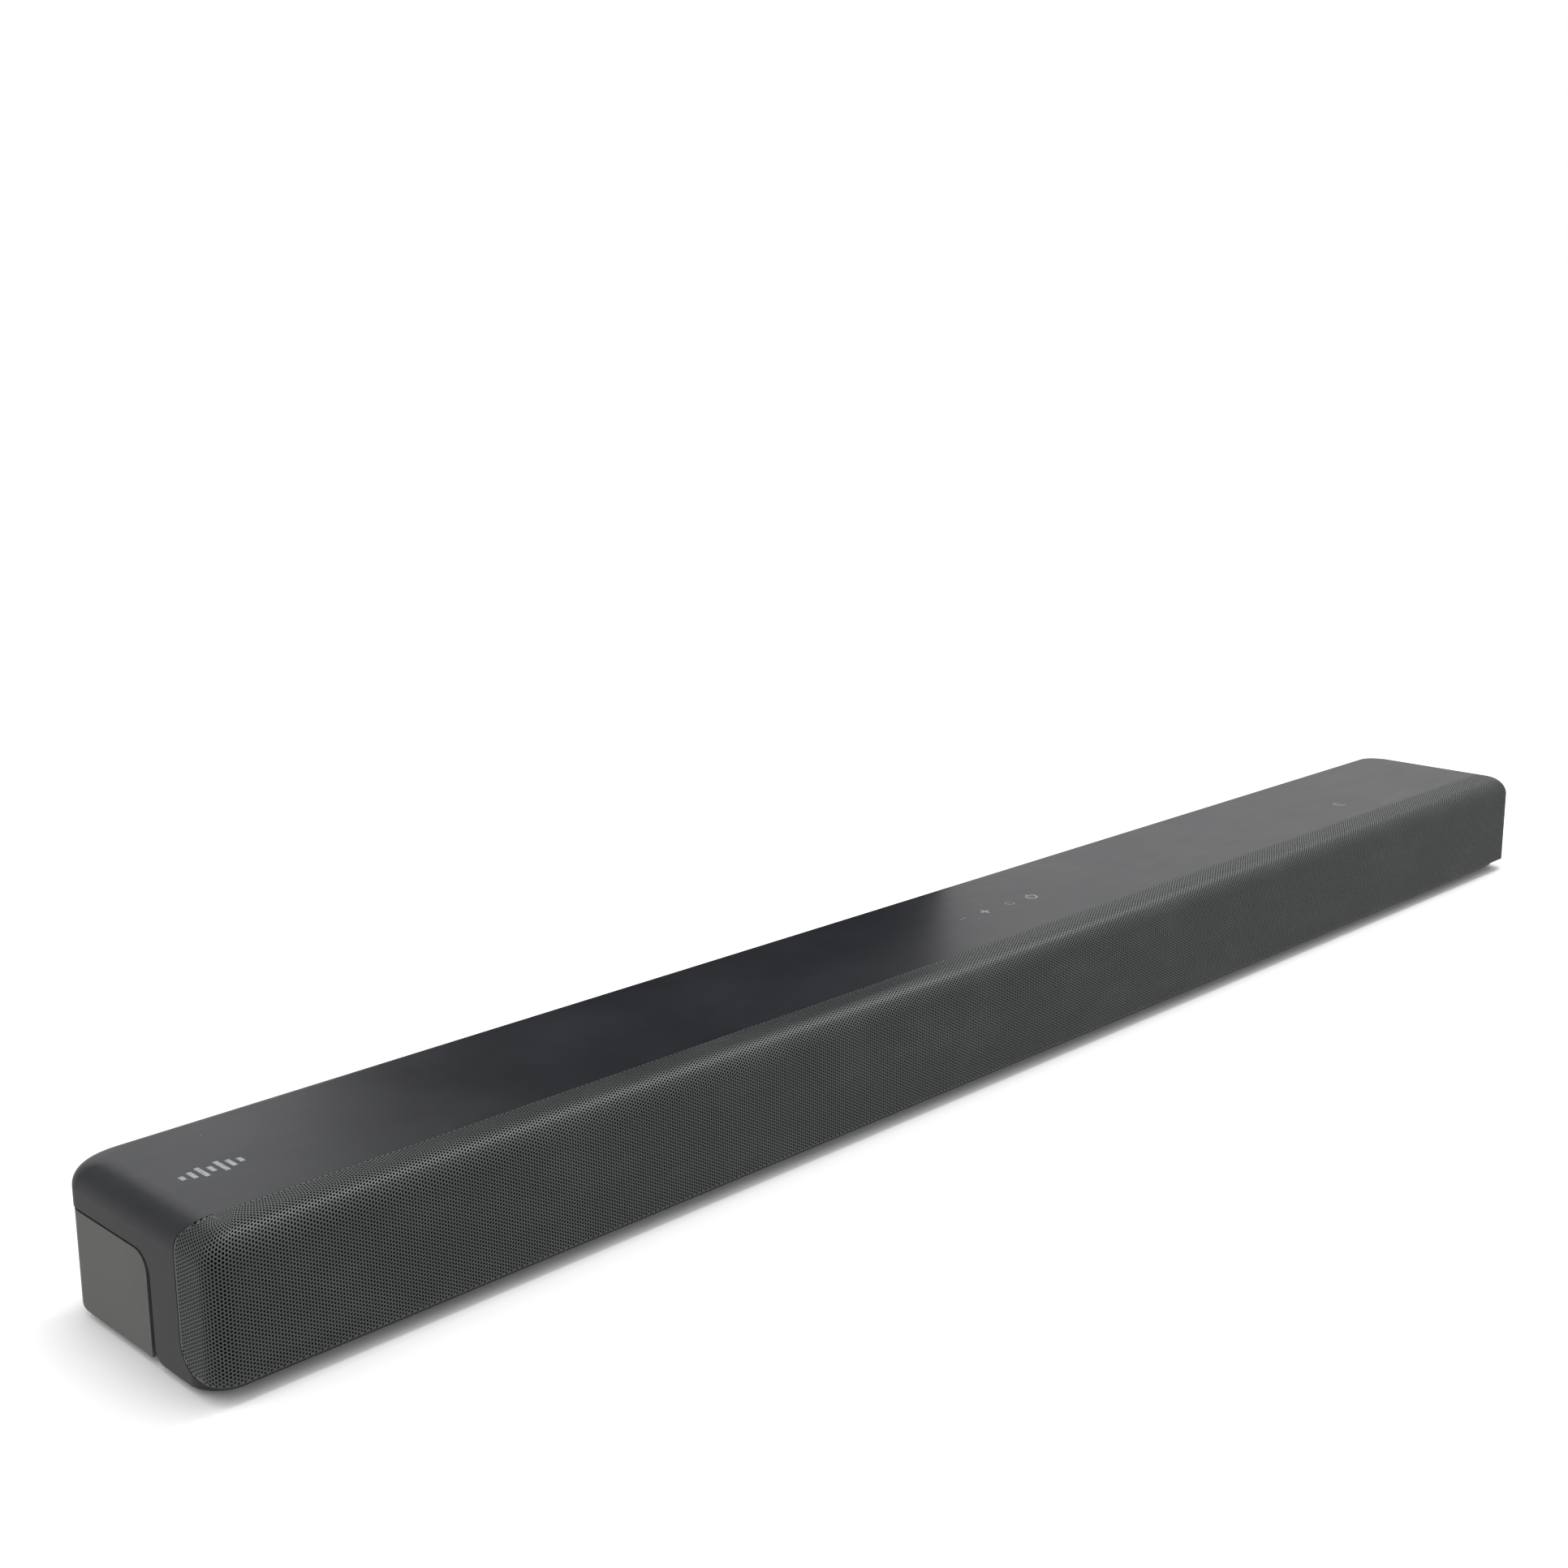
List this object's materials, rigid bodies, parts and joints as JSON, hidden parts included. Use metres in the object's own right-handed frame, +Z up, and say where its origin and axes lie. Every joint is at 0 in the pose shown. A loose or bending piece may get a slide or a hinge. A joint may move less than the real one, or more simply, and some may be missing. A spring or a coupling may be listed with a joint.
{
  "type": "soundbar",
  "caption": "Long low loudspeaker bar with a wrap-round perforated front grille, touch keys on top, recessed rear sockets, keyholes for a wall and rubber feet.",
  "frame": {"origin": "on the surface that the bar stands on, under the middle of its box", "axes": "+X to the right for someone who looks at its front, +Y out of its rear, +Z up"},
  "size_m": [0.98, 0.108, 0.064],
  "materials": {
    "cover_plastic": "fine-grained charcoal moulding",
    "panel_plastic": "satin charcoal grey",
    "grille_metal": "dark satin paint, perforated",
    "black_plastic": "matte black",
    "box_plastic": "matte black",
    "rubber": "matte",
    "cone_paper": "coated paper pulp",
    "copper": "enamelled wire",
    "spider_cloth": "resin-stiffened cloth",
    "steel": "zinc plated",
    "ferrite": "unglazed ferrite",
    "smoked_window": "polished smoked acrylic",
    "circuit_board": "green solder mask",
    "socket_metal": "nickel plated",
    "shutter_plastic": "matte",
    "winding_tape": "yellow winding tape",
    "capacitor_sleeve": "shrink sleeve",
    "aluminium": "extruded",
    "loom_sleeve": "sleeved leads"
  },
  "bodies": {
    "chassis": {"top_cover": "cover_plastic", "bottom_cabinet": "panel_plastic", "front_grille": "grille_metal", "front_baffle": "black_plastic", "left_speaker_box": "box_plastic", "left_basket": "black_plastic", "left_surround": "rubber", "left_spider": "spider_cloth", "left_pole_plate": "steel", "left_magnet": "ferrite", "left_pole_yoke": "steel", "centre_speaker_box": "box_plastic", "centre_basket": "black_plastic", "centre_surround": "rubber", "centre_spider": "spider_cloth", "centre_pole_plate": "steel", "centre_magnet": "ferrite", "centre_pole_yoke": "steel", "right_speaker_box": "box_plastic", "right_basket": "black_plastic", "right_surround": "rubber", "right_spider": "spider_cloth", "right_pole_plate": "steel", "right_magnet": "ferrite", "right_pole_yoke": "steel", "display_window": "smoked_window", "display_board": "circuit_board", "remote_receiver": "smoked_window", "touch_board": "circuit_board", "terminal_bay": "black_plastic", "mains_bay": "black_plastic", "video_out_socket": "socket_metal", "video_in_socket": "socket_metal", "service_socket": "socket_metal", "optical_socket": "black_plastic", "mains_inlet": "black_plastic", "terminal_board": "circuit_board", "power_board": "circuit_board", "transformer": "winding_tape", "filter_capacitor": "capacitor_sleeve", "main_board": "circuit_board", "heat_sink": "aluminium", "radio_module": "socket_metal", "left_keyhole_plate": "steel", "right_keyhole_plate": "steel", "front_left_foot": "rubber", "front_right_foot": "rubber", "rear_left_foot": "rubber", "rear_right_foot": "rubber", "speaker_loom": "loom_sleeve"},
    "left_cone": {"left_cone": "cone_paper", "left_dust_cap": "cone_paper", "left_voice_coil": "copper"},
    "centre_cone": {"centre_cone": "cone_paper", "centre_dust_cap": "cone_paper", "centre_voice_coil": "copper"},
    "right_cone": {"right_cone": "cone_paper", "right_dust_cap": "cone_paper", "right_voice_coil": "copper"},
    "shutter": {"optical_shutter": "shutter_plastic"}
  },
  "joints": [
    {"name": "left_cone_travel", "type": "slide", "parent": "chassis", "child": "left_cone", "axis": [0, -1, 0], "range_m": [-0.002, 0.002], "stiffness_N_per_m": 1200},
    {"name": "centre_cone_travel", "type": "slide", "parent": "chassis", "child": "centre_cone", "axis": [0, -1, 0], "range_m": [-0.002, 0.002], "stiffness_N_per_m": 1200},
    {"name": "right_cone_travel", "type": "slide", "parent": "chassis", "child": "right_cone", "axis": [0, -1, 0], "range_m": [-0.002, 0.002], "stiffness_N_per_m": 1200},
    {"name": "shutter_swing", "type": "hinge", "parent": "chassis", "child": "shutter", "pos_m": [0.192, 0.035, 0.0289], "axis": [-1, 0, 0], "range_deg": [0, 80], "stiffness_Nm_per_rad": 0.002}
  ]
}
